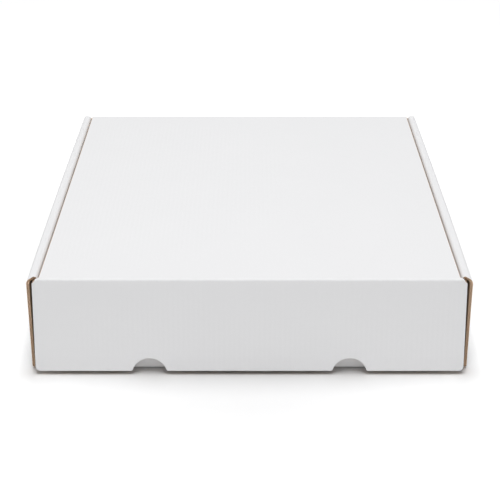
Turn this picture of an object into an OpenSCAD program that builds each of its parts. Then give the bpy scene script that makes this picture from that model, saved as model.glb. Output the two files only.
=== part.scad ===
// Corrugated mailer box, one die-cut and folded sheet of white-lined board.
// The side walls roll over to the inside and lock with tabs in the bottom.
// Millimetres. +Z is up, the front is at -Y, and the origin is the centre
// of the underside. Each fold is a true arc of the board's thickness.

/* [Box] */
// Clear width between the inner side plies
inner_w = 252; // [150:1:400]
// Clear depth between the front and the rear wall
inner_d = 293; // [200:1:420]
// Height of the closed box
box_h = 60; // [40:1:120]

/* [Board] */
// Thickness of the corrugated board
board_t = 1.6; // [1.2:0.1:2.4]
// Radius on the inside of each fold
fold_r = 0.3; // [0.1:0.1:0.6]

/* [Side walls] */
// Free space between the outer ply and the dust flaps
roll_gap = 1.4; // [0.6:0.1:3]
// Clearance between plies that lie side by side
ply_gap = 0.2; // [0.1:0.05:0.5]
// How far the outer ply stands ahead of the front wall
side_lead = 3.4; // [0.8:0.1:3.8]
// Set-back of the inner ply's front end from the front wall's face
mitre_front = 2.4; // [2:0.2:10]
// Set-back of the inner ply's rear end from the rear wall's face
mitre_rear = 2.4; // [2:0.2:8]
// Radius of the outer ply's lower front corner
ply_front_r = 2.4; // [0.5:0.1:2.6]
// Radius of the outer ply's lower rear corner
ply_rear_r = 1.2; // [0.4:0.1:1.3]
// Height of the outer ply's lower edge past the bottom fold
ply_foot_z = 0.9; // [0.4:0.1:1.2]

/* [Locking tabs] */
// Length of each tab on the inner plies
tab_l = 42; // [20:1:60]
// Distance between the middles of the two tabs on a side
tab_pitch = 150; // [80:1:180]
// Length of the bevel on each end of a tab
tab_bevel = 1.5; // [0.5:0.1:4]
// Height of the tabs' ends above the underside
tab_end_z = 0.2; // [0.1:0.05:0.5]
// Clearance of a tab in its slot, on each side
slot_gap = 0.2; // [0.1:0.05:0.5]

/* [Dust flaps] */
// Length of a dust flap, from the wall's outer face
dust_l = 92; // [30:1:95]
// Height left free below and above a dust flap
dust_clear = 0.8; // [0.4:0.1:3]
// Radius of a dust flap's free corners
dust_corner_r = 12; // [2:1:18]

/* [Lid] */
// Clearance between the lid's side edge and the inner ply
lid_side_gap = 0.4; // [0.2:0.1:1.5]
// Clearance between the front wall's top edge and the lid
lid_rest_gap = 0.3; // [0.1:0.1:0.6]
// Slit along each hinge crease, on its outer face
crease_gap = 0.1; // [0.06:0.02:0.2]

/* [Front flap] */
// Outward lean of the hanging flap, in degrees
flap_lean = 8.4; // [1:0.1:12]
// Clearance between the front wall and the flap's crease
flap_wall_gap = 0.3; // [0.1:0.1:0.8]
// Height of the flap's lower edge above the ground
flap_foot_gap = 2.4; // [0.5:0.1:6]
// Radius of the flap's lower corners
flap_corner_r = 3; // [1:0.5:8]
// Radius of a thumb notch
notch_r = 10.7; // [8:0.1:14]
// Height of a thumb notch
notch_h = 8.2; // [5:0.1:10]
// Distance between the middles of the two notches
notch_pitch = 121; // [60:1:125]
// Radius on the lips of a notch
notch_lip_r = 1.2; // [0.4:0.1:2]

/* [Hidden] */
$fn = 96;

// Overrun of a cutting shape past the board
eps = 1;
board_white = [0.93, 0.93, 0.935];

// Outside radius of a fold, and the overlap inside the sheet where a
// fold meets the panel that goes on from it
fold_ro = fold_r + board_t;
lap = board_t / 4;

// Side wall stack, from the inside out
inner_half = inner_w / 2;
inner_ply_out = inner_half + board_t;
dust_in = inner_ply_out + ply_gap;
wall_half = dust_in + board_t;
outer_ply_in = wall_half + roll_gap;
out_half = outer_ply_in + board_t;
wall_flat_half = wall_half - fold_ro;

// Depth of the tray and of its side walls
tray_half_d = inner_d / 2 + board_t;
bottom_half_d = tray_half_d - fold_ro;
side_y0 = -tray_half_d - side_lead;
side_y1 = tray_half_d;
inner_ply_y0 = -tray_half_d + mitre_front;
inner_ply_y1 = tray_half_d - mitre_rear;

// Heights
fold_top_z = box_h - fold_ro;
lid_under_z = box_h - board_t;
front_top_z = lid_under_z - lid_rest_gap;
inner_ply_z0 = board_t + ply_gap;
dust_z0 = board_t + dust_clear;
dust_z1 = lid_under_z - dust_clear;

// Lid and flap: the crease centres, and the widths where the lid's
// front corners flare out to the flap
lid_half = inner_half - lid_side_gap;
flap_half = wall_half;
crease_half = (lid_half + flap_half) / 2;
rear_crease_y = bottom_half_d;
front_crease_y = -tray_half_d - flap_wall_gap + fold_r;
rear_mitre = 45;
front_mitre = (90 + 180 - flap_lean) / 2;
slit_a = asin(crease_gap / 2 / fold_ro);
flare_rise = fold_ro * sin(front_mitre - 90);
flap_l = (fold_top_z + fold_r * sin(flap_lean) - flap_foot_gap)
    / cos(flap_lean);

// Section of a fold: an arc of the board around the origin, between two
// directions up to a quarter turn apart
module fold_section(from, to) {
    reach = 2 * fold_ro;
    intersection() {
        difference() {
            circle(fold_ro);
            circle(fold_r);
        }
        polygon([[0, 0],
                 reach * [cos(from), sin(from)],
                 reach * [cos(to), sin(to)]]);
    }
}

// Section of a square corner fold with the first of the flat board on
// both sides: one runs up along +Y, the other back along +X
module corner_section() {
    translate([fold_ro, fold_ro])
        fold_section(180, 270);
    rect([0, fold_ro], [board_t, fold_ro + lap]);
    rect([fold_ro, 0], [fold_ro + lap, board_t]);
}

// A section drawn in Y and Z, carried len along X around the middle
module along_x(len) {
    rotate([90, 0, 90])
        linear_extrude(len, center = true)
            children();
}

// A section drawn in X and Z, carried from y0 to y1
module along_y(y0, y1) {
    translate([0, y1, 0])
        rotate([90, 0, 0])
            linear_extrude(y1 - y0)
                children();
}

// Board cut to an outline drawn in Y and Z, from x0 outwards
module board_yz(x0) {
    translate([x0, 0, 0])
        rotate([90, 0, 90])
            linear_extrude(board_t)
                children();
}

// A rectangle from low to high corner
module rect(low, high) {
    translate(low)
        square(high - low);
}

// What a round takes off a corner of radius r at the origin, where the
// outline lies towards +X and +Y
module corner_waste(r) {
    difference() {
        translate([-eps, -eps])
            square(r + eps);
        translate([r, r])
            circle(r);
    }
}

// Slot for one locking tab, drawn in X and Y
module tab_slot(y) {
    rect([inner_half - slot_gap, y - tab_l / 2 - slot_gap],
         [inner_ply_out + slot_gap, y + tab_l / 2 + slot_gap]);
}

// Bottom panel with its four slots
module bottom_panel() {
    linear_extrude(board_t)
        difference() {
            rect([-(out_half - fold_ro), -bottom_half_d],
                 [out_half - fold_ro, bottom_half_d]);
            for (side = [0, 1], y = [-tab_pitch / 2, tab_pitch / 2])
                mirror([side, 0])
                    tab_slot(y);
        }
}

// Outline of a dust flap in Y and Z, growing from the front wall
module dust_outline() {
    y1 = dust_l - tray_half_d;
    difference() {
        rect([-bottom_half_d, dust_z0], [y1, dust_z1]);
        translate([y1, dust_z0])
            mirror([1, 0])
                corner_waste(dust_corner_r);
        translate([y1, dust_z1])
            rotate(180)
                corner_waste(dust_corner_r);
    }
}

// Dust flap on the right end of the front wall, with its corner fold
module dust_flap() {
    board_yz(dust_in)
        dust_outline();
    translate([wall_half, -tray_half_d, dust_z0])
        mirror([1, 0, 0])
            linear_extrude(dust_z1 - dust_z0)
                corner_section();
}

// Front wall with its bottom fold and both dust flaps
module end_wall() {
    along_x(2 * wall_flat_half)
        translate([-tray_half_d, 0]) {
            corner_section();
            rect([0, fold_ro], [board_t, front_top_z]);
        }
    for (side = [0, 1])
        mirror([side, 0, 0])
            dust_flap();
}

// Rear wall: the same form, carried up to the lid's crease
module rear_wall() {
    mirror([0, 1, 0])
        end_wall();
    along_x(2 * lid_half) {
        rect([tray_half_d - board_t, front_top_z - lap],
             [tray_half_d, fold_top_z]);
        translate([rear_crease_y, fold_top_z])
            fold_section(0, rear_mitre - slit_a);
    }
}

// Outer ply of the right side wall, drawn in Y and Z
module outer_ply_outline() {
    difference() {
        union() {
            rect([side_y0, fold_ro], [side_y1, fold_top_z]);
            rect([side_y0, ply_foot_z],
                 [-bottom_half_d, fold_ro + lap]);
            rect([bottom_half_d, ply_foot_z],
                 [side_y1, fold_ro + lap]);
        }
        translate([side_y0, ply_foot_z])
            corner_waste(ply_front_r);
        translate([side_y1, ply_foot_z])
            mirror([1, 0])
                corner_waste(ply_rear_r);
    }
}

// Inner ply of the right side wall, with its two tabs
module inner_ply_outline() {
    rect([inner_ply_y0, inner_ply_z0], [inner_ply_y1, fold_top_z]);
    for (y = [-tab_pitch / 2, tab_pitch / 2])
        translate([y, 0])
            polygon([[-tab_l / 2, inner_ply_z0 + lap],
                     [-tab_l / 2, inner_ply_z0],
                     [-tab_l / 2 + tab_bevel, tab_end_z],
                     [tab_l / 2 - tab_bevel, tab_end_z],
                     [tab_l / 2, inner_ply_z0],
                     [tab_l / 2, inner_ply_z0 + lap]]);
}

// Plan of the rolled top: mitred over its whole width at the front, where
// the flap hangs, and only along the inner fold at the rear
module roll_plan() {
    polygon([[out_half, side_y0],
             [inner_ply_out, inner_ply_y0],
             [inner_half - eps, inner_ply_y0],
             [inner_half - eps, inner_ply_y1],
             [inner_ply_out, inner_ply_y1],
             [inner_half + fold_ro, side_y1],
             [out_half + eps, side_y1],
             [out_half + eps, side_y0]]);
}

// Section of the rolled top in X and Z: the ends of both plies, two
// folds and the narrow flat between them
module roll_section() {
    for (x = [inner_half, outer_ply_in])
        rect([x, fold_top_z - lap], [x + board_t, fold_top_z]);
    translate([out_half - fold_ro, fold_top_z])
        fold_section(0, 90);
    translate([inner_half + fold_ro, fold_top_z])
        fold_section(90, 180);
    rect([inner_half + fold_ro, lid_under_z],
         [out_half - fold_ro, box_h]);
}

// Right side wall: bottom fold, outer ply, rolled top and inner ply
module side_wall() {
    translate([out_half, 0, 0])
        mirror([1, 0, 0])
            along_y(-bottom_half_d, bottom_half_d)
                corner_section();
    board_yz(outer_ply_in)
        outer_ply_outline();
    intersection() {
        along_y(side_y0, side_y1)
            roll_section();
        linear_extrude(box_h + eps)
            roll_plan();
    }
    board_yz(inner_half)
        inner_ply_outline();
}

// Plan of the lid, with its front corners flared towards the flap
module lid_plan() {
    crease_y = front_crease_y - flare_rise;
    flare_y = crease_y + crease_half - lid_half;
    polygon([[-crease_half, crease_y - eps],
             [crease_half, crease_y - eps],
             [crease_half, crease_y],
             [lid_half, flare_y],
             [lid_half, tray_half_d],
             [-lid_half, tray_half_d],
             [-lid_half, flare_y],
             [-crease_half, crease_y]]);
}

// Half moon of a thumb notch, with rounded lips, on an edge at z = 0
module notch_waste() {
    drop = notch_r - notch_h;
    lip_x = sqrt(pow(notch_r + notch_lip_r, 2)
        - pow(drop + notch_lip_r, 2));
    touch = notch_r / (notch_r + notch_lip_r);
    translate([0, -drop])
        circle(notch_r);
    for (side = [0, 1])
        mirror([side, 0])
            difference() {
                polygon([[0, -eps], [lip_x, -eps],
                         [lip_x, notch_lip_r],
                         [lip_x * touch,
                          (drop + notch_lip_r) * touch - drop]]);
                translate([lip_x, notch_lip_r])
                    circle(notch_lip_r);
            }
}

// Front view of the flap hanging from its crease at z = 0: sloping
// shoulders, rounded lower corners and two thumb notches
module flap_outline() {
    difference() {
        polygon([[-crease_half, flare_rise],
                 [-flap_half, 0],
                 [-flap_half, -flap_l],
                 [flap_half, -flap_l],
                 [flap_half, 0],
                 [crease_half, flare_rise],
                 [crease_half, fold_ro + eps],
                 [-crease_half, fold_ro + eps]]);
        for (side = [0, 1])
            mirror([side, 0]) {
                translate([-flap_half, -flap_l])
                    corner_waste(flap_corner_r);
                translate([notch_pitch / 2, -flap_l])
                    notch_waste();
            }
    }
}

// Tray: bottom, front and rear walls with dust flaps, and side walls
module tray() {
    color(board_white) {
        bottom_panel();
        end_wall();
        rear_wall();
        for (side = [0, 1])
            mirror([side, 0, 0])
                side_wall();
    }
}

// Section of the lid in Y and Z: its half of the rear crease, the flat
// panel and its half of the front crease
module lid_section() {
    translate([rear_crease_y, fold_top_z])
        fold_section(rear_mitre + slit_a, 90);
    translate([front_crease_y, fold_top_z])
        fold_section(90, front_mitre - slit_a);
    rect([front_crease_y, lid_under_z], [rear_crease_y, box_h]);
}

// Lid, cut to its plan
module lid() {
    color(board_white)
        intersection() {
            along_x(2 * crease_half)
                lid_section();
            linear_extrude(box_h + eps)
                lid_plan();
        }
}

// Section of the hanging flap in Y and Z, with its half of the crease
// around the origin
module flap_section() {
    fold_section(front_mitre + flap_lean + slit_a, 180);
    rect([-fold_ro, -flap_l], [-fold_r, 0]);
}

// Front flap, cut to its outline and leaning out at its foot
module front_flap() {
    color(board_white)
        translate([0, front_crease_y, fold_top_z])
            rotate([-flap_lean, 0, 0])
                intersection() {
                    along_x(2 * flap_half)
                        flap_section();
                    along_y(-fold_ro - eps, eps)
                        flap_outline();
                }
}

tray();
lid();
front_flap();
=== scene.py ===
import bpy
import numpy as np
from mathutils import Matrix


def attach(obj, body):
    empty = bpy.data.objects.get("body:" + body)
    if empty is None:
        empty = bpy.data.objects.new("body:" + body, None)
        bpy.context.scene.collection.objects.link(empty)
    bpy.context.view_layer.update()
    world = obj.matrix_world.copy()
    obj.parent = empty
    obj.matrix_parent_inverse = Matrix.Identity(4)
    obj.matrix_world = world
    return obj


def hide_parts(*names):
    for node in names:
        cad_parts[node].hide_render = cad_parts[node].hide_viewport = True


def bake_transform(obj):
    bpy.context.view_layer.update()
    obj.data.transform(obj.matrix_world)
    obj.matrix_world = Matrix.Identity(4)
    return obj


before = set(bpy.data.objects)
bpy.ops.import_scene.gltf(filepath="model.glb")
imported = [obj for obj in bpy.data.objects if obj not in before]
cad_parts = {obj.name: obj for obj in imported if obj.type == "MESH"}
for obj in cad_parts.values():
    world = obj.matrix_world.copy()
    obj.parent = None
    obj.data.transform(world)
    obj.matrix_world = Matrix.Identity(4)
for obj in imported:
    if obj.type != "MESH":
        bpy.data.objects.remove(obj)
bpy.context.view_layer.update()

# The tray: bottom, rolled side walls, end walls and dust flaps.
# All of it is one piece of corrugated board, die-cut, creased and folded.
# It is held by the tabs of the inner side plies in slots of the bottom.

# Sizes of the board and of its folds, in millimetres
board_t = 1.6
liner_t = 0.3
medium_t = 0.4
flute_pitch = 3.05
fold_ri = 0.3
fold_ro = fold_ri + board_t
scored_ro = 1.0
score_reach = 1.5
hem = 0.2

# Sizes of the folded tray, in millimetres
bottom_flat_x = 130.5
bottom_flat_y = 146.2
end_flat_x = 127.5
wall_rise = 56.2
roll_flat = 1.6
roll_inner_r = 2.9
roll_gap = 0.5
inner_ply_drop = 55.3
tab_drop = 1.6
lid_half = 125.6
side_front_y = -151.5
side_rear_y = 148.1
roll_front_set = 5.8
roll_rear_set = 2.4
front_rows_in = (3.0, 3.3)
rear_rows_in = (1.9, 2.1)
lean_run = 8.0
foot_front_r = 2.4
foot_rear_r = 1.2
foot_drop = 1.0
slot_x = (125.8, 127.8)
tab_middle = 75.0
tab_half = 21.0
slot_half = 21.2
tab_bevel = 1.5
wall_bow = 0.6
foot_push = 2.6
foot_lift = 0.7


def folded_path(start, facing, steps):
    """The outer face of a folded sheet, seen along its creases. A flat
    step has a length and runs straight on, at a right angle to the facing
    direction. A fold has an angle and an outer radius: it turns the
    facing direction round that arc, and its length counts half the
    board's thickness inside it. At a fold too sharp for the board the
    scoring line has pressed it thin, so the step from face to depth
    shortens around it. Gives back the function from length to place and
    that step, and the length at each step's end."""
    lengths, turns, radii, thins, angles, places = [], [], [], [], [], []
    place = np.array(start, dtype=float)
    angle = np.radians(facing)
    for amount, *radius in steps:
        fold_r = radius[0] if radius else 0.0
        turn = np.radians(amount) if radius else 0.0
        thin = min(1.0, (fold_r - 0.1) / board_t) if radius else 1.0
        radii.append(fold_r)
        turns.append(turn)
        thins.append(thin)
        angles.append(angle)
        places.append(place)
        out = np.array([np.cos(angle), np.sin(angle)])
        if radius:
            lengths.append((fold_r - thin * board_t / 2) * turn)
            new = np.array([np.cos(angle + turn), np.sin(angle + turn)])
            place = place + fold_r * (new - out)
            angle = angle + turn
        else:
            lengths.append(amount)
            place = place + amount * np.array([-out[1], out[0]])
    lengths, turns, radii = np.array(lengths), np.array(turns), np.array(radii)
    thins, angles, places = np.array(thins), np.array(angles), np.array(places)
    ends = np.cumsum(lengths)
    starts = ends - lengths

    def at(q):
        k = np.clip(np.searchsorted(starts, q, side="right") - 1, 0, None)
        run = q - starts[k]
        turned = angles[k] + turns[k] * run / lengths[k]
        out0 = np.stack([np.cos(angles[k]), np.sin(angles[k])], -1)
        out = np.stack([np.cos(turned), np.sin(turned)], -1)
        along = np.stack([-out0[..., 1], out0[..., 0]], -1) * run[..., None]
        bent = radii[k][..., None] * (out - out0)
        flat = (turns[k] == 0)[..., None]
        away = np.maximum(starts - q[..., None], q[..., None] - ends)
        share = np.clip(away / score_reach, 0, 1)
        share = share * share * (3 - 2 * share)
        pressed = np.min(thins + (1 - thins) * share, -1)
        place_at = places[k] + np.where(flat, along, bent)
        return place_at, out * pressed[..., None]

    return at, ends


def spread(*stops, close=hem):
    """Grid lines: each stop is a pair of the next place and the number
    of equal steps that lead to it, and the first stop is the start. A
    stretch much longer than a fold gets a line close to each end, which
    keeps the shading of the folds off the flat board, unless close is
    zero."""
    lines = [np.array([stops[0]], dtype=float)]
    for end, steps in stops[1:]:
        start = lines[-1][-1]
        part = np.linspace(start, end, steps + 1)[1:]
        if close and end - start > 12 * close:
            part = np.concatenate([[start + close], part[:-1],
                                   [end - close, end]])
        lines.append(part)
    return np.concatenate(lines)


def paper(u, v, present, place, face, back, looks=(0, 1, 1)):
    """One paper of the board over a grid of the flat sheet: u runs across
    the flutes and v along them. Its face and its back are the grid placed
    at two depths under the board's outer face, its rim joins the two
    wherever the paper ends. looks are the materials of face, rim and
    back."""
    nu, nv = u.shape
    verts = np.concatenate([place(u, v, face).reshape(-1, 3),
                            place(u, v, back).reshape(-1, 3)])
    flat = np.stack([u, v], -1).reshape(-1, 2)
    flat = np.concatenate([flat, flat])
    index = np.arange(nu * nv).reshape(nu, nv)
    a, b = index[:-1, :-1], index[:-1, 1:]
    c, d = index[1:, 1:], index[1:, :-1]
    near = np.pad(present, 1)
    quads = [np.stack([a, b, c, d], -1)[present],
             np.stack([d, c, b, a], -1)[present] + nu * nv]
    for p, q, beside in ((a, b, near[:-2, 1:-1]), (b, c, near[1:-1, 2:]),
                         (c, d, near[2:, 1:-1]), (d, a, near[1:-1, :-2])):
        cut = present & ~beside
        quads.append(np.stack([q, p, p + nu * nv, q + nu * nv], -1)[cut])
    counts = [len(part) for part in quads]
    look = np.repeat([looks[0], looks[2]] + [looks[1]] * 4, counts)
    return verts, flat, np.concatenate(quads), look


def mirrored(part, axis):
    """The same paper on the other side: one coordinate changes its sign
    and each face is listed backwards, so that it still faces outwards."""
    verts, flat, quads, look = part
    flip = np.ones(3)
    flip[axis] = -1
    return verts * flip, flat, quads[:, ::-1], look


def board_piece(name, parts, materials):
    """Joins papers into one object: drops the unused points and the faces
    without area, turns millimetres into metres, and keeps the place on
    the flat sheet as a UV map, in centimetres."""
    verts, flat, quads, look, first = [], [], [], [], 0
    for part in parts:
        verts.append(part[0])
        flat.append(part[1])
        quads.append(part[2] + first)
        look.append(part[3])
        first += len(part[0])
    verts, flat = np.concatenate(verts), np.concatenate(flat)
    quads, look = np.concatenate(quads), np.concatenate(look)
    corners = verts[quads]
    area = np.linalg.norm(np.cross(corners[:, 2] - corners[:, 0],
                                   corners[:, 3] - corners[:, 1]), axis=1)
    quads, look = quads[area > 1e-7], look[area > 1e-7]
    used, quads = np.unique(quads, return_inverse=True)
    quads = quads.reshape(-1, 4)
    verts, flat = verts[used], flat[used]
    mesh = bpy.data.meshes.new(name)
    mesh.vertices.add(len(verts))
    mesh.vertices.foreach_set("co", (verts * 0.001).ravel())
    mesh.loops.add(quads.size)
    mesh.loops.foreach_set("vertex_index", quads.ravel())
    mesh.polygons.add(len(quads))
    mesh.polygons.foreach_set("loop_start", np.arange(len(quads)) * 4)
    mesh.polygons.foreach_set("material_index", look)
    mesh.polygons.foreach_set("use_smooth", look != 1)
    sheet_map = mesh.uv_layers.new(name="sheet")
    sheet_map.data.foreach_set("uv", (flat[quads.ravel()] * 0.1).ravel())
    for material in materials:
        mesh.materials.append(material)
    mesh.update(calc_edges=True)
    edge_of = np.empty(quads.size, dtype=np.int32)
    mesh.loops.foreach_get("edge_index", edge_of)
    crisp = np.zeros(len(mesh.edges), dtype=bool)
    crisp[edge_of.reshape(-1, 4)[look == 1].ravel()] = True
    mesh.edges.foreach_set("use_edge_sharp", crisp)
    piece = bpy.data.objects.new(name, mesh)
    bpy.context.scene.collection.objects.link(piece)
    return piece


def corrugated(lines, rows, shape, place, flute_rows=None, faces=(0, 2)):
    """The three papers of the board: two liners, and between them the
    medium, a sine wave across u that touches both. lines and rows are the
    grid of the liners, shape gives the moved grid and its cells, and the
    medium, which runs straight along its flutes, may have fewer rows."""
    wave = (board_t - 2 * liner_t - medium_t) / 2

    def fluted(u):
        return board_t / 2 + wave * np.sin(2 * np.pi * u / flute_pitch)

    parts = []
    u, v, present = shape(lines, rows)
    parts.append(paper(u, v, present, place, np.zeros_like(u),
                       np.full_like(u, liner_t), (faces[0], 1, 1)))
    parts.append(paper(u, v, present, place,
                       np.full_like(u, board_t - liner_t),
                       np.full_like(u, board_t), (1, 1, faces[1])))
    step = flute_pitch / 8
    count = np.arange(np.ceil(lines[0] / step), lines[-1] / step)
    waves = np.unique(np.round(np.concatenate([lines, count * step]), 4))
    u, v, present = shape(waves, rows if flute_rows is None else flute_rows)
    parts.append(paper(u, v, present, place, fluted(u) - medium_t / 2,
                       fluted(u) + medium_t / 2, (3, 3, 3)))
    return parts


side_path, side_ends = folded_path(
    (0, 0), -90, [(bottom_flat_x,), (90, fold_ro), (wall_rise,),
                  (90, fold_ro), (roll_flat,), (90, roll_inner_r),
                  (inner_ply_drop + tab_drop,)])
sharper = fold_ro - scored_ro
end_path, end_ends = folded_path(
    (0, 0), -90, [(bottom_flat_y + sharper,), (90, scored_ro),
                  (wall_rise + sharper,), (45, fold_ro)])
ply_foot_u, roll_u = side_ends[1], side_ends[2]
inner_ply_u, inner_foot_u = side_ends[5], side_ends[5] + inner_ply_drop
tab_end_u = side_ends[6]


def foot_round(rise, radius):
    """How far a rounded lower corner draws back at a height above the
    ply's lower edge: a quarter circle."""
    left = np.clip(radius - rise, 0, radius)
    return radius - np.sqrt(radius ** 2 - left ** 2)


def side_edge(u, y_end, set_back, roll_start, roll_end, radius, sign):
    """Front or rear edge of a side wall: straight on the outer ply, with
    a rounded foot, then drawn back evenly over a part of the roll."""
    over_roll = np.clip((u - roll_start) / (roll_end - roll_start), 0, 1)
    rise = np.clip(u - ply_foot_u + foot_drop, foot_drop, None)
    return y_end - sign * (set_back * over_roll + foot_round(rise, radius))


def tray_grid(lines, rows):
    """Moves the end rows of the side walls onto their cut edges and the
    slot rows of the tabs onto the tabs' bevelled ends, and tells which
    cells of the sheet hold board. On the roll and the inner ply the next
    rows follow their cut ends at a short distance."""
    u, v = np.meshgrid(lines, rows, indexing="ij")
    across = np.abs(u)
    front, rear = np.searchsorted(rows, (-bottom_flat_y, bottom_flat_y))
    wall = across[:, 0] > bottom_flat_x
    side = side_edge(across[:, 0], side_front_y, roll_front_set, roll_u,
                     side_ends[4], foot_front_r, -1)
    v[wall, front - 1] = side[wall]
    drawn = across[:, 0] > roll_u
    v[drawn, front] = side[drawn] + front_rows_in[0]
    v[drawn, front + 1] = side[drawn] + front_rows_in[1]
    side = side_edge(across[:, 0], side_rear_y, roll_rear_set,
                     side_ends[4], side_ends[5], foot_rear_r, 1)
    v[wall, rear + 1] = side[wall]
    v[drawn, rear] = side[drawn] - rear_rows_in[0]
    v[drawn, rear - 1] = side[drawn] - rear_rows_in[1]
    at_tabs = across[:, 0] > inner_ply_u
    bevel = np.clip((across[:, 0] - inner_foot_u) / tab_drop, 0, 1)
    half = tab_half - tab_bevel * bevel
    for middle in (-tab_middle, tab_middle):
        for sign in (-1, 1):
            row = np.searchsorted(rows, middle + sign * slot_half - 1e-6)
            v[at_tabs, row] = (middle + sign * half)[at_tabs]
    mid_u = np.abs(lines[1:] + lines[:-1])[:, None] / 2
    mid_v = (rows[1:] + rows[:-1])[None, :] / 2
    out_v = np.abs(mid_v)
    at_tab = np.abs(out_v - tab_middle) < slot_half
    column = np.arange(len(rows) - 1)[None, :]
    side_rows = (column >= front - 1) & (column <= rear)
    present = np.where(mid_u < end_flat_x, True, out_v < bottom_flat_y)
    present = np.where(mid_u > ply_foot_u, side_rows, present)
    present &= ~((mid_u > slot_x[0]) & (mid_u < slot_x[1]) & at_tab)
    present &= ~((mid_u > inner_foot_u) & ~at_tab)
    above = out_v > end_ends[2]
    present &= ~(above & ((mid_v < 0) | (mid_u > lid_half)))
    return u, v, present


def lean_share(length):
    """How far the front wall stands out and lifts off the floor, as a
    share of its foot: it grows evenly over the last of the bottom and
    dies out towards the wall's top."""
    grow = np.clip((length - bottom_flat_y + lean_run) / lean_run, 0, 1)
    rise = np.clip((length - end_ends[1]) / (end_ends[2] - end_ends[1]), 0, 1)
    return grow * (1 - rise)


def tray_place(u, v, depth):
    """Folds the flat sheet up. Inside the end walls' width the length
    goes round the end folds; outside it the width goes round the side
    folds. The outer plies bow outwards in the middle of their length, by
    a share that grows with height and dies out over the roll. The inner
    plies keep clear of the lid by a share that grows over the roll's
    inner fold and dies out down to the tabs."""
    at, out = side_path(np.abs(u))
    x = np.sign(u) * (at[..., 0] - depth * out[..., 0])
    z = at[..., 1] - depth * out[..., 1]
    rise = np.clip((np.abs(u) - ply_foot_u) / wall_rise, 0, 1)
    fall = np.clip((np.abs(u) - side_ends[3]) / roll_flat, 0, 1)
    share = np.sin(rise * np.pi / 2) * (1 - fall)
    half_d = (side_rear_y - side_front_y) / 2
    x = x + np.sign(u) * wall_bow * share * np.clip(
        1 - ((v - side_rear_y + half_d) / half_d) ** 2, 0, 1)
    clear = np.clip((np.abs(u) - side_ends[4]) / (inner_ply_u - side_ends[4]),
                    0, 1)
    down = np.clip((np.abs(u) - inner_ply_u) / inner_ply_drop, 0, 1)
    x = x + np.sign(u) * roll_gap * clear * (1 - down)
    on_end = np.abs(u) < end_flat_x + 0.01
    at, out = end_path(np.abs(v))
    y_end = np.sign(v) * (at[..., 0] - depth * out[..., 0])
    y_end = y_end - foot_push * np.where(v < 0, lean_share(np.abs(v)), 0)
    z_end = at[..., 1] - depth * out[..., 1]
    z_end = z_end + foot_lift * np.where(v < 0, lean_share(np.abs(v)), 0)
    return np.stack([np.where(on_end, u, x), np.where(on_end, y_end, v),
                     np.where(on_end, z_end, z)], -1)


half_lines = spread(0.0, (lid_half, 8), (slot_x[0], 1), (end_flat_x, 1),
                    (slot_x[1], 1), (bottom_flat_x, 1), (ply_foot_u, 8),
                    (ply_foot_u + foot_front_r - foot_drop, 6),
                    (roll_u, 12), (side_ends[3], 12), (side_ends[4], 6),
                    (side_ends[5], 12), (inner_foot_u, 6), (tab_end_u, 3))
tray_lines = np.concatenate([-half_lines[:0:-1], half_lines])
half_rows = spread(0.0, (tab_middle - slot_half, 6),
                   (tab_middle + slot_half, 4), (bottom_flat_y, 6),
                   (end_ends[0], 1), (end_ends[1], 8), (end_ends[2], 2),
                   (end_ends[3], 6))
tray_rows = np.concatenate([-half_rows[:0:-1], half_rows])
half_flutes = spread(0.0, (tab_middle - slot_half, 3),
                     (tab_middle + slot_half, 2), (bottom_flat_y, 3),
                     (end_ends[0], 1), (end_ends[1], 4), (end_ends[2], 2),
                     (end_ends[3], 3), close=0)
flute_rows = np.concatenate([-half_flutes[:0:-1], half_flutes])
*tray_liners, tray_medium = corrugated(tray_lines, tray_rows, tray_grid,
                                       tray_place, flute_rows)
tray_fluting = [tray_medium]

# The outer plies run on below the bottom fold at both ends of the tray
for y_end, y_fold, radius in ((side_front_y, -bottom_flat_y, foot_front_r),
                              (side_rear_y, bottom_flat_y, foot_rear_r)):

    def foot_grid(lines, rows):
        """A short strip under the ply, between its rounded corner and
        the end of the bottom fold."""
        u, share = np.meshgrid(lines, rows, indexing="ij")
        edge = y_end - np.sign(y_end) * foot_round(u + foot_drop, radius)
        low, high = np.minimum(edge, y_fold), np.maximum(edge, y_fold)
        return u, low + share * (high - low), np.ones(
            (len(lines) - 1, len(rows) - 1), dtype=bool)

    def foot_place(u, v, depth):
        """Straight down from the outer ply's lowest grid line."""
        return np.stack([bottom_flat_x + fold_ro - depth, v, fold_ro + u], -1)

    for part in corrugated(spread(-foot_drop, (0.0, 8)), spread(0.0, (1.0, 3)),
                           foot_grid, foot_place):
        tray_liners += [part, mirrored(part, 0)]

# The dust flaps grow from the ends of the front and rear walls
dust_low, dust_high, dust_end_y, dust_corner_r = 2.4, 57.6, -56.1, 12.0
dust_path, dust_ends = folded_path(
    (end_flat_x, side_rear_y * -1), -90,
    [(90, fold_ro), (dust_end_y + bottom_flat_y,)])
dust_lines = spread(0.0, (dust_ends[0], 8),
                    (dust_ends[1] - dust_corner_r, 3), (dust_ends[1], 16))


def dust_grid(lines, rows):
    """Full height from the wall's end on, with rounded free corners."""
    u, share = np.meshgrid(lines, rows, indexing="ij")
    draw = foot_round(dust_ends[1] - u, dust_corner_r)
    return u, dust_high - draw - share * (dust_high - dust_low - 2 * draw), \
        np.ones((len(lines) - 1, len(rows) - 1), dtype=bool)


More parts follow.
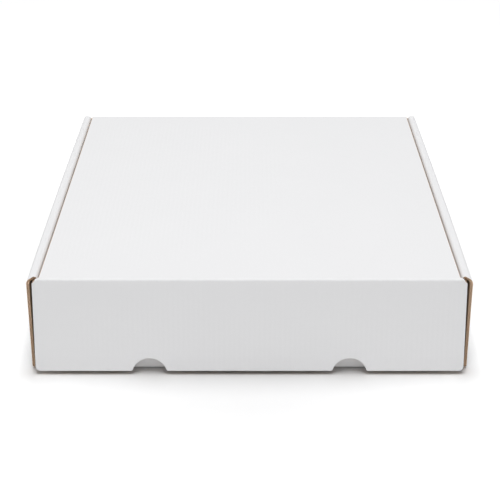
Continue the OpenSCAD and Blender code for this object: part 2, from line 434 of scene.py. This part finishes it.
for end_sign, push in ((1, foot_push), (-1, 0.0)):

    def dust_place(u, v, depth):
        """Round the corner fold and back along the side wall, leaning
        with the wall that the flap grows from."""
        at, out = dust_path(u)
        lean = push * (1 - (v - fold_ro) / wall_rise)
        y = at[..., 1] - depth * out[..., 1] - lean
        x = at[..., 0] - depth * out[..., 0]
        return np.stack([x, end_sign * y, v], -1)

    papers_here = corrugated(dust_lines, spread(0.0, (1.0, 4)), dust_grid,
                             dust_place, np.array([0.0, 1.0]))
    for part, held in zip(papers_here,
                          (tray_liners, tray_liners, tray_fluting)):
        if end_sign < 0:
            part = part[0], part[1], part[2][:, ::-1], part[3]
        held += [part, mirrored(part, 0)]

# White-coated outer paper: nearly smooth, with a faint cloudiness and the
# flutes printing through as a shallow ripple across the sheet
def new_group(name, inputs, outputs):
    """An empty node group with the named sockets, and its two ends."""
    group = bpy.data.node_groups.new(name, "ShaderNodeTree")
    for label, kind, value in inputs:
        socket = group.interface.new_socket(label, in_out="INPUT",
                                            socket_type=kind)
        if value is not None:
            socket.default_value = value
    for label, kind in outputs:
        group.interface.new_socket(label, in_out="OUTPUT", socket_type=kind)
    return (group, group.nodes.new("NodeGroupInput"),
            group.nodes.new("NodeGroupOutput"))


def node(tree, kind, **settings):
    """Adds a node; plain settings are its properties, and a setting that
    starts with in_ is the value of the input with that number."""
    made = tree.nodes.new(kind)
    for key, value in settings.items():
        if key.startswith("in_"):
            made.inputs[int(key[3:])].default_value = value
        else:
            setattr(made, key, value)
    return made


fibre_group, fibre_in, fibre_out = new_group(
    "paper_fibre",
    [("Place", "NodeSocketVector", None),
     ("Fibre size", "NodeSocketFloat", 60.0),
     ("Cloud size", "NodeSocketFloat", 12.0)],
    [("Fibre", "NodeSocketFloat"), ("Cloud", "NodeSocketFloat")])
fine = node(fibre_group, "ShaderNodeTexNoise", in_3=3.0, in_4=0.6)
cloud = node(fibre_group, "ShaderNodeTexNoise", in_3=4.0, in_4=0.55)
stretch = node(fibre_group, "ShaderNodeMapping", vector_type="POINT")
stretch.inputs["Scale"].default_value = (1.0, 0.25, 1.0)
link = fibre_group.links.new
link(fibre_in.outputs["Place"], stretch.inputs["Vector"])
link(stretch.outputs["Vector"], fine.inputs["Vector"])
link(fibre_in.outputs["Fibre size"], fine.inputs["Scale"])
link(fibre_in.outputs["Place"], cloud.inputs["Vector"])
link(fibre_in.outputs["Cloud size"], cloud.inputs["Scale"])
link(fine.outputs["Fac"], fibre_out.inputs["Fibre"])
link(cloud.outputs["Fac"], fibre_out.inputs["Cloud"])

ripple_group, ripple_in, ripple_out = new_group(
    "flute_ripple", [("Sheet", "NodeSocketVector", None),
                     ("Pitch", "NodeSocketFloat", flute_pitch * 0.1)],
    [("Height", "NodeSocketFloat")])
split = node(ripple_group, "ShaderNodeSeparateXYZ")
turns = node(ripple_group, "ShaderNodeMath", operation="DIVIDE")
angle = node(ripple_group, "ShaderNodeMath", operation="MULTIPLY",
             in_1=2 * np.pi)
wave = node(ripple_group, "ShaderNodeMath", operation="SINE")
link = ripple_group.links.new
link(ripple_in.outputs["Sheet"], split.inputs["Vector"])
link(split.outputs["X"], turns.inputs[0])
link(ripple_in.outputs["Pitch"], turns.inputs[1])
link(turns.outputs["Value"], angle.inputs[0])
link(angle.outputs["Value"], wave.inputs[0])
link(wave.outputs["Value"], ripple_out.inputs["Height"])


def paper_material(name, dark, light, fibre_size, ripple, roughness, bump):
    """A matte paper: its colour runs between two tones with the clouds
    and fibres, and its height holds the fibres and the flutes' ripple."""
    material = bpy.data.materials.new(name)
    material.use_nodes = True
    tree = material.node_tree
    shader = tree.nodes["Principled BSDF"]
    shader.inputs["Roughness"].default_value = roughness
    shader.inputs["Specular IOR Level"].default_value = 0.35
    sheet = node(tree, "ShaderNodeUVMap", uv_map="sheet")
    place = node(tree, "ShaderNodeTexCoord")
    fibre = node(tree, "ShaderNodeGroup", node_tree=fibre_group)
    fibre.inputs["Fibre size"].default_value = fibre_size
    fibre.inputs["Cloud size"].default_value = 22.0
    mixed = node(tree, "ShaderNodeMath", operation="MULTIPLY_ADD", in_1=0.5)
    half = node(tree, "ShaderNodeMath", operation="MULTIPLY", in_1=0.5)
    tone = node(tree, "ShaderNodeMix", data_type="RGBA")
    tone.inputs["A"].default_value = dark + (1.0,)
    tone.inputs["B"].default_value = light + (1.0,)
    flutes = node(tree, "ShaderNodeGroup", node_tree=ripple_group)
    height = node(tree, "ShaderNodeMath", operation="MULTIPLY_ADD",
                  in_1=ripple)
    bumped = node(tree, "ShaderNodeBump")
    bumped.inputs["Strength"].default_value = bump
    bumped.inputs["Distance"].default_value = 0.0001
    link = tree.links.new
    link(place.outputs["Object"], fibre.inputs["Place"])
    link(fibre.outputs["Cloud"], half.inputs[0])
    link(fibre.outputs["Fibre"], mixed.inputs[0])
    link(half.outputs["Value"], mixed.inputs[2])
    link(mixed.outputs["Value"], tone.inputs["Factor"])
    link(tone.outputs["Result"], shader.inputs["Base Color"])
    link(sheet.outputs["UV"], flutes.inputs["Sheet"])
    link(flutes.outputs["Height"], height.inputs[0])
    link(fibre.outputs["Fibre"], height.inputs[2])
    link(height.outputs["Value"], bumped.inputs["Height"])
    link(bumped.outputs["Normal"], shader.inputs["Normal"])
    return material


white_paper = paper_material("white_paper", (0.845, 0.845, 0.855),
                             (0.885, 0.885, 0.893), 900.0, 0.25, 0.62, 0.25)
kraft_core = paper_material("kraft_core", (0.58, 0.39, 0.245),
                            (0.78, 0.57, 0.40), 1500.0, 0.0, 0.9, 0.6)
inner_paper = paper_material("kraft_liner", (0.37, 0.25, 0.16),
                             (0.46, 0.33, 0.225), 900.0, 0.35, 0.8, 0.4)
fluting = paper_material("fluting", (0.58, 0.40, 0.26),
                         (0.76, 0.56, 0.40), 1200.0, 0.0, 0.9, 0.5)
papers = [white_paper, kraft_core, inner_paper, fluting]

# The liners and the medium between them are two pieces of the same tray
for name, parts in (("tray_board", tray_liners),
                    ("tray_fluting", tray_fluting)):
    tray_paper = board_piece(name, parts, papers)
    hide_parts("tray")
    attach(tray_paper, "tray")

# The lid: the same sheet goes on over the rear crease as the top panel.
# It drops flush between the rolled side walls, and its front corners
# flare out to the width of the front flap.
crease_z = 58.1
front_crease_y = -148.1
flap_lean = 8.4
flap_fall = 56.35
crease_ro = 1.5
crease_half = 127.5
flap_half = 129.4
edge_proud = 0.05
edge_slant = 0.15
front_half_turn = (90 - flap_lean) / 2
saved = (fold_ro - crease_ro) * np.tan(np.radians(front_half_turn))
lid_path, lid_ends = folded_path(
    (bottom_flat_y, crease_z + fold_ro), 90,
    [(bottom_flat_y - front_crease_y + saved,),
     (front_half_turn, crease_ro), (front_half_turn, crease_ro),
     (flap_fall + saved,)])


def lid_place(u, v, depth):
    """Along the sheet over the top and round the front crease, and back
    from there round the arc of the rear crease where the length is under
    zero. The width grows a little with the depth, because the cutting
    knife crushes the long edges into a slant."""
    at, out = lid_path(np.clip(v, 0, None))
    proud = (edge_proud - edge_slant * (1 - depth / board_t)) * np.clip(
        np.minimum(v, lid_ends[0] - v) / 4, 0, 1)
    turn = np.pi / 2 + np.minimum(v, 0) / (fold_ri + board_t / 2)
    reach = np.where(v < 0, fold_ro - depth, 0)
    y = np.where(v < 0, bottom_flat_y + reach * np.cos(turn),
                 at[..., 0] - depth * out[..., 0])
    z = np.where(v < 0, crease_z + reach * np.sin(turn),
                 at[..., 1] - depth * out[..., 1])
    return np.stack([u * (1 + proud / lid_half), y, z], -1)


def crushed_edge(half, rows, place, width=0.25):
    """The core of the board along a long edge, where the knife presses
    the last flute flat: a bar that fills the space between the liners."""
    lines = np.array([half - width, half])
    u, v = np.meshgrid(lines, rows, indexing="ij")
    bar = paper(u, v, np.ones((1, len(rows) - 1), dtype=bool), place,
                np.full_like(u, liner_t), np.full_like(u, board_t - liner_t),
                (1, 1, 1))
    return [bar, mirrored(bar, 0)]


def lid_grid(lines, rows):
    """A plain rectangle, with a slanted strip on each side near the
    front crease: the rows of the strip close up towards its outer
    end."""
    u, v = np.meshgrid(lines, rows, indexing="ij")
    out = np.clip((np.abs(u) - lid_half) / (crease_half - lid_half), 0, 1)
    start = flare_row + out * (lid_ends[1] - flare_row)
    share = (v - flare_row) / (lid_ends[1] - flare_row)
    v = np.where((share >= 0) & (out > 0),
                 start + share * (lid_ends[1] - start), v)
    mid_u = np.abs(lines[1:] + lines[:-1])[:, None] / 2
    mid_v = (rows[1:] + rows[:-1])[None, :] / 2
    return u, v, (mid_u < lid_half) | (mid_v > flare_row)


flare_run = 1.4
rear_row = -(fold_ri + board_t / 2) * np.pi / 4
flare_row = lid_ends[0] - flare_run
lid_rows = spread(rear_row, (0.0, 6), (flare_row, 6), (lid_ends[0], 2),
                  (lid_ends[1], 6))
lid_half_lines = spread(0.0, (lid_half, 8), (crease_half, 4))
lid_lines = np.concatenate([-lid_half_lines[:0:-1], lid_half_lines])
lid_parts = corrugated(lid_lines, lid_rows, lid_grid, lid_place)

# Along the long edges a hair's breadth of the top takes the kraft core's
# colour: partly the knife's crushed cut edge, partly painted shade of the dark
# gap beside the rolled walls
flat, quads, look = lid_parts[0][1:]
rim = (np.abs(flat[quads, 0]).min(axis=1) > lid_half - 1.5 * hem) & (
    flat[quads, 1].max(axis=1) < flare_row + hem)
look[rim] = 1
lid_parts += crushed_edge(lid_half, lid_rows[lid_rows <= flare_row],
                          lid_place)
lid_board = board_piece("lid_board", lid_parts, papers)
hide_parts("lid")
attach(lid_board, "lid")

# The front flap: the last panel of the sheet, hanging over the front
# wall. Its shoulders slope out under the crease, its lower corners are
# rounded, and two half moons for the thumbs are cut into its edge.
notch_r, notch_h, notch_lip_r, notch_middle = 10.7, 8.2, 1.2, 60.5
notch_lip_x, notch_touch_x, notch_crown_x = 11.31, 10.17, 8.0
flap_corner_r = 3.0
shoulder_run = 1.2


def notch_height(across):
    """Height of a thumb notch at a distance from its middle: a circle
    that sinks below the edge, then a small round lip turned the other
    way, then nothing."""
    drop = notch_r - notch_h
    lip_x = np.sqrt((notch_r + notch_lip_r) ** 2 - (drop + notch_lip_r) ** 2)
    touch = lip_x * notch_r / (notch_r + notch_lip_r)
    moon = np.sqrt(np.clip(notch_r ** 2 - across ** 2, 0, None)) - drop
    lip = notch_lip_r - np.sqrt(np.clip(
        notch_lip_r ** 2 - (lip_x - across) ** 2, 0, None))
    return np.where(across < touch, moon, np.where(across < lip_x, lip, 0))


def flap_grid(lines, rows):
    """The first rows close up towards the ends of the shoulders, and the
    last row follows the notches and the rounded corners."""
    u, v = np.meshgrid(lines, rows, indexing="ij")
    across = np.abs(u)
    out = np.clip((across - crease_half) / (flap_half - crease_half), 0, 1)
    start = lid_ends[1] + out * (shoulder_row - lid_ends[1])
    share = (v - lid_ends[1]) / (shoulder_row - lid_ends[1])
    v = np.where(share <= 1, start + share * (shoulder_row - start), v)
    cut = notch_height(np.abs(across - notch_middle))
    cut = cut + foot_round(flap_half - across, flap_corner_r)
    v[:, -1] -= cut[:, 0]
    return u, v, np.ones((len(lines) - 1, len(rows) - 1), dtype=bool)


shoulder_row = lid_ends[2] + shoulder_run
flap_rows = np.append(spread(lid_ends[1], (lid_ends[2], 6),
                             (shoulder_row, 2), (lid_ends[3] - 12, 2)),
                      lid_ends[3])
notch_lines = notch_middle + spread(
    -notch_lip_x, (-notch_touch_x, 6), (-notch_crown_x, 8),
    (notch_crown_x, 20), (notch_touch_x, 8), (notch_lip_x, 6))
flap_half_lines = np.concatenate(
    [spread(0.0, (notch_lines[0] - 0.5, 4)), notch_lines,
     spread(notch_lines[-1] + 0.5, (flap_half - flap_corner_r, 4),
            (crease_half, 4), (flap_half, 12))])
flap_lines = np.concatenate([-flap_half_lines[:0:-1], flap_half_lines])
flap_parts = corrugated(flap_lines, flap_rows, flap_grid, lid_place)
flap_parts += crushed_edge(flap_half, np.array(
    [shoulder_row, lid_ends[3] - flap_corner_r]), lid_place)
flap_board = board_piece("flap_board", flap_parts, papers)
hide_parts("front_flap")
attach(flap_board, "front_flap")


# The creases of the lid and of the flap: the sheet doesn't end there.
# The inner paper runs on through the crease as a strip of its own, while
# the outer paper turns on the hinge line itself.
def crease_strip(name, half, rows, place):
    """A strip of the inner paper over the whole fold, set a hair proud
    of the papers it joins, fixed in its closed shape."""
    u, v = np.meshgrid(np.linspace(-half, half, 9), rows, indexing="ij")
    part = paper(u, v, np.ones((8, len(rows) - 1), dtype=bool), place,
                 np.full_like(u, board_t - 0.1),
                 np.full_like(u, board_t + 0.03), (2, 1, 2))
    strip = board_piece(name, [part], papers)
    ends = place(np.zeros(2), rows[[0, -1]], np.full(2, board_t)) * 0.001
    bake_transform(strip)


crease_strip("rear_crease_paper", lid_half, np.linspace(2 * rear_row, 0, 13),
             lid_place)
crease_strip("front_crease_paper", crease_half,
             np.linspace(lid_ends[0] - 0.3, lid_ends[2] + 0.3, 19),
             lid_place)

# The studio: a white floor, one wide soft light overhead and a faint one
# in front, a pale surrounding, and the camera at the photo's viewpoint.
# The floor's tone and bounce rise away from the box, in metres from it: near
# the box both are painted shade, a darker floor that stands in for the box's
# contact shadow.
floor_half = 4.0
floor_widening = 1.4
near_r, shade_end_r, bounce_shade_end_r = 0.155, 0.33, 0.2
painted_shade_tone, far_tone = 0.8, 1.3
painted_shade_bounce, far_bounce = 0.8, 0.97
fade_start, fade_end = 0.5, 0.9
floor_mesh = bpy.data.meshes.new("floor")
edge = np.array([-floor_half, floor_half])
fx, fy = np.meshgrid(edge, edge, indexing="ij")
floor_mesh.from_pydata(np.stack([fx, fy, 0 * fx], -1).reshape(-1, 3).tolist(),
                       [], [[0, 2, 3, 1]])
floor = bpy.data.objects.new("floor", floor_mesh)
bpy.context.scene.collection.objects.link(floor)
floor_white = bpy.data.materials.new("floor_white")
floor_white.use_nodes = True
tree = floor_white.node_tree
tree.nodes.remove(tree.nodes["Principled BSDF"])
seen = node(tree, "ShaderNodeBsdfDiffuse")
place = node(tree, "ShaderNodeTexCoord")
oval = node(tree, "ShaderNodeMapping")
oval.inputs["Scale"].default_value = (floor_widening, 1.0, 1.0)
reach = node(tree, "ShaderNodeVectorMath", operation="LENGTH")
# Painted shade: the floor as the camera sees it darkens towards the box
floor_shade_ramp = node(tree, "ShaderNodeMapRange")
for socket, value in enumerate((near_r, shade_end_r, painted_shade_tone, far_tone), 1):
    floor_shade_ramp.inputs[socket].default_value = value
tree.links.new(place.outputs["Object"], oval.inputs["Vector"])
tree.links.new(oval.outputs["Vector"], reach.inputs[0])
tree.links.new(reach.outputs["Value"], floor_shade_ramp.inputs[0])
tree.links.new(floor_shade_ramp.outputs[0], seen.inputs["Color"])
# Painted shade: the floor's colour for bounced light also darkens towards the
# box, which darkens the notches and the space under the flap
bounced = node(tree, "ShaderNodeBsdfDiffuse")
bounce_shade_ramp = node(tree, "ShaderNodeMapRange")
for socket, value in enumerate((near_r, bounce_shade_end_r, painted_shade_bounce, far_bounce), 1):
    bounce_shade_ramp.inputs[socket].default_value = value
tree.links.new(reach.outputs["Value"], bounce_shade_ramp.inputs[0])
tree.links.new(bounce_shade_ramp.outputs[0], bounced.inputs["Color"])
ray = node(tree, "ShaderNodeLightPath")
either = node(tree, "ShaderNodeMixShader")
tree.links.new(ray.outputs["Is Camera Ray"], either.inputs[0])
tree.links.new(bounced.outputs[0], either.inputs[1])
# Further out, past the shadows, the camera sees the floor as plain white
far_white = node(tree, "ShaderNodeEmission")
fade = node(tree, "ShaderNodeMapRange")
for socket, value in enumerate((fade_start, fade_end), 1):
    fade.inputs[socket].default_value = value
shown = node(tree, "ShaderNodeMixShader")
tree.links.new(reach.outputs["Value"], fade.inputs[0])
tree.links.new(fade.outputs[0], shown.inputs[0])
tree.links.new(seen.outputs[0], shown.inputs[1])
tree.links.new(far_white.outputs[0], shown.inputs[2])
tree.links.new(shown.outputs[0], either.inputs[2])
tree.links.new(either.outputs[0], tree.nodes["Material Output"].inputs[0])
floor_mesh.materials.append(floor_white)

world = bpy.data.worlds.new("studio")
world.use_nodes = True
tree = world.node_tree
surround = tree.nodes["Background"]
surround.inputs["Color"].default_value = (1, 1, 1, 1)
ray = node(tree, "ShaderNodeLightPath")
level = node(tree, "ShaderNodeMix", data_type="FLOAT")
level.inputs["A"].default_value = 0.25
level.inputs["B"].default_value = 1.0
tree.links.new(ray.outputs["Is Camera Ray"], level.inputs["Factor"])
tree.links.new(level.outputs["Result"], surround.inputs["Strength"])
bpy.context.scene.world = world

for name, width, depth, watts, place, turn in (
        ("overhead_light", 0.6, 2.0, 31.0, (0, -0.1, 1.9), (0, 0, 0)),
        ("front_light", 1.2, 0.45, 2.2, (0, -1.6, 0.25), (85, 0, 0))):
    light = bpy.data.lights.new(name, "AREA")
    light.shape = "RECTANGLE"
    light.size = width
    light.size_y = depth
    light.energy = watts
    lamp = bpy.data.objects.new(name, light)
    lamp.location = place
    lamp.rotation_euler = np.radians(turn)
    lamp.visible_camera = False
    bpy.context.scene.collection.objects.link(lamp)

focal_px, photo_px, camera_tilt = 1295.7, 500, 24.79
camera_data = bpy.data.cameras.new("camera")
camera_data.sensor_width = 36.0
camera_data.lens = camera_data.sensor_width * focal_px / photo_px
camera_data.shift_x = 0.0009
camera_data.shift_y = -0.001
camera_data.clip_start = 0.01
camera = bpy.data.objects.new("camera", camera_data)
camera.location = (0, -0.8397, 0.3983)
camera.rotation_euler = (np.radians(90 - camera_tilt), 0, 0)
bpy.context.scene.collection.objects.link(camera)
bpy.context.scene.camera = camera
bpy.context.scene.view_settings.view_transform = "Standard"
